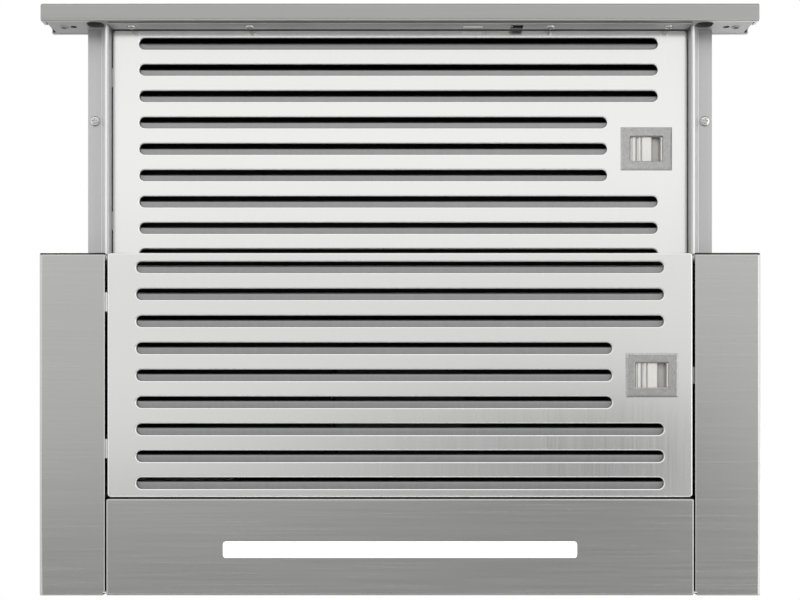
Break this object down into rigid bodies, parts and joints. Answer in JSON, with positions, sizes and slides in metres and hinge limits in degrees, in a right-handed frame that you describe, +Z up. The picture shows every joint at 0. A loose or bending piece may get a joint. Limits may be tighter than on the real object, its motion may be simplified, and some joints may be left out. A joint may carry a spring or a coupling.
{
  "type": "telescopic range hood",
  "caption": "Pull-out kitchen hood with a sliding visor on ball slides, slotted grease filters with latches, a lamp strip, a blower and a round outlet collar.",
  "frame": {"origin": "under the middle of the hood with its visor pulled out, at the underside", "axes": "+X to the right along the front panel, -Y toward the cook, +Z up toward the duct"},
  "size_m": [0.598, 0.4924, 0.215],
  "materials": {
    "brushed_cover": "brushed stainless steel, grain across the hood",
    "brushed_front": "brushed stainless steel",
    "filter_steel": "satin stainless steel",
    "baffle_steel": "plain stainless steel",
    "grey_steel": "grey coated steel",
    "galvanised": "galvanised sheet",
    "bright_steel": "zinc-plated steel",
    "flap_sheet": "plain aluminium sheet",
    "motor_paint": "painted motor shell",
    "dark_plastic": "moulded black plastic",
    "white_plastic": "moulded white plastic",
    "latch_grey": "moulded grey plastic",
    "latch_beige": "moulded beige-grey plastic",
    "lens": "frosted diffuser, lit"
  },
  "bodies": {
    "root": {"side_cover_left": "brushed_cover", "side_cover_right": "brushed_cover", "casing_shell": "galvanised", "casing_front": "galvanised", "casing_back": "galvanised", "lamp_panel": "brushed_cover", "light_lens": "lens", "led_strip": "white_plastic", "lamp_housing": "galvanised", "outlet_collar": "dark_plastic", "flap_rod": "bright_steel", "scroll_left": "dark_plastic", "scroll_right": "dark_plastic", "motor": "motor_paint", "motor_bracket": "bright_steel", "control_box": "white_plastic", "control_lid": "white_plastic", "cable_gland": "dark_plastic", "slide_outer_left": "galvanised", "slide_outer_right": "galvanised", "cover_screws": "bright_steel", "lamp_screws": "bright_steel", "collar_screws": "bright_steel", "blower_screws": "bright_steel", "door_switch": "dark_plastic"},
    "visor": {"front_panel": "brushed_front", "front_back_plate": "grey_steel", "front_crossbar": "grey_steel", "visor_side_left": "brushed_front", "visor_side_right": "brushed_front", "visor_top": "brushed_front", "runner_bracket_left": "galvanised", "runner_bracket_right": "galvanised", "visor_rear_bar": "brushed_front", "slide_inner_left": "galvanised", "slide_inner_right": "galvanised", "visor_screws": "bright_steel", "crossbar_screws": "bright_steel", "button_box": "dark_plastic", "upper_filter_face": "filter_steel", "upper_filter_baffle": "baffle_steel", "upper_latch_bezel": "latch_grey", "upper_latch_spring": "bright_steel"},
    "cage_left": {"ball_cage_left": "galvanised", "balls_left": "bright_steel"},
    "cage_right": {"ball_cage_right": "galvanised", "balls_right": "bright_steel"},
    "lower_filter": {"lower_filter_face": "filter_steel", "lower_filter_baffle": "baffle_steel", "lower_latch_bezel": "latch_grey", "lower_latch_spring": "bright_steel"},
    "lower_latch": {"lower_latch_slider": "latch_beige"},
    "upper_latch": {"upper_latch_slider": "latch_beige"},
    "fan": {"impeller": "dark_plastic", "motor_shaft": "bright_steel"},
    "flap_left": {"flap_left": "flap_sheet"},
    "flap_right": {"flap_right": "flap_sheet"},
    "fan_button": {"fan_button": "dark_plastic"},
    "lamp_button": {"lamp_button": "white_plastic"},
    "switch_lever": {"switch_lever": "bright_steel"}
  },
  "joints": [
    {"name": "visor_slide", "type": "slide", "parent": "root", "child": "visor", "axis": [0, 1, 0], "range_m": [0, 0.192]},
    {"name": "cage_left_roll", "type": "slide", "parent": "root", "child": "cage_left", "axis": [0, 1, 0], "range_m": [0, 0.096]},
    {"name": "cage_right_roll", "type": "slide", "parent": "root", "child": "cage_right", "axis": [0, 1, 0], "range_m": [0, 0.096]},
    {"name": "lower_filter_swing", "type": "hinge", "parent": "root", "child": "lower_filter", "pos_m": [-0.2434, 0.0635, 0.0025], "axis": [0, 1, 0], "range_deg": [0, 35]},
    {"name": "lower_latch_slide", "type": "slide", "parent": "lower_filter", "child": "lower_latch", "axis": [-1, 0, 0], "range_m": [0, 0.005], "stiffness_N_per_m": 300, "springref_m": -0.004, "deforming": ["lower_latch_spring"]},
    {"name": "upper_latch_slide", "type": "slide", "parent": "visor", "child": "upper_latch", "axis": [-1, 0, 0], "range_m": [0, 0.005], "stiffness_N_per_m": 300, "springref_m": -0.004, "deforming": ["upper_latch_spring"]},
    {"name": "fan_spin", "type": "hinge", "parent": "root", "child": "fan", "pos_m": [0, 0.0882, 0.122], "axis": [1, 0, 0], "continuous": true},
    {"name": "flap_left_swing", "type": "hinge", "parent": "root", "child": "flap_left", "pos_m": [0, 0.1302, 0.189], "axis": [0, 1, 0], "range_deg": [0, 75]},
    {"name": "flap_right_swing", "type": "hinge", "parent": "root", "child": "flap_right", "pos_m": [0, 0.1302, 0.189], "axis": [0, -1, 0], "range_deg": [0, 75]},
    {"name": "fan_button_press", "type": "slide", "parent": "visor", "child": "fan_button", "axis": [0, -1, 0], "range_m": [0, 0.0015], "stiffness_N_per_m": 500, "springref_m": -0.001},
    {"name": "lamp_button_press", "type": "slide", "parent": "visor", "child": "lamp_button", "axis": [0, -1, 0], "range_m": [0, 0.0015], "stiffness_N_per_m": 500, "springref_m": -0.001},
    {"name": "switch_lever_swing", "type": "hinge", "parent": "root", "child": "switch_lever", "pos_m": [0.25575, 0.2325, 0.0407], "axis": [-1, 0, 0], "range_deg": [0, 6], "stiffness_Nm_per_rad": 0.05, "springref_deg": -2.86}
  ],
  "couplings": [
    {"joint": "cage_left_roll", "follows": "visor_slide", "ratio": 0.5},
    {"joint": "cage_right_roll", "follows": "visor_slide", "ratio": 0.5}
  ]
}
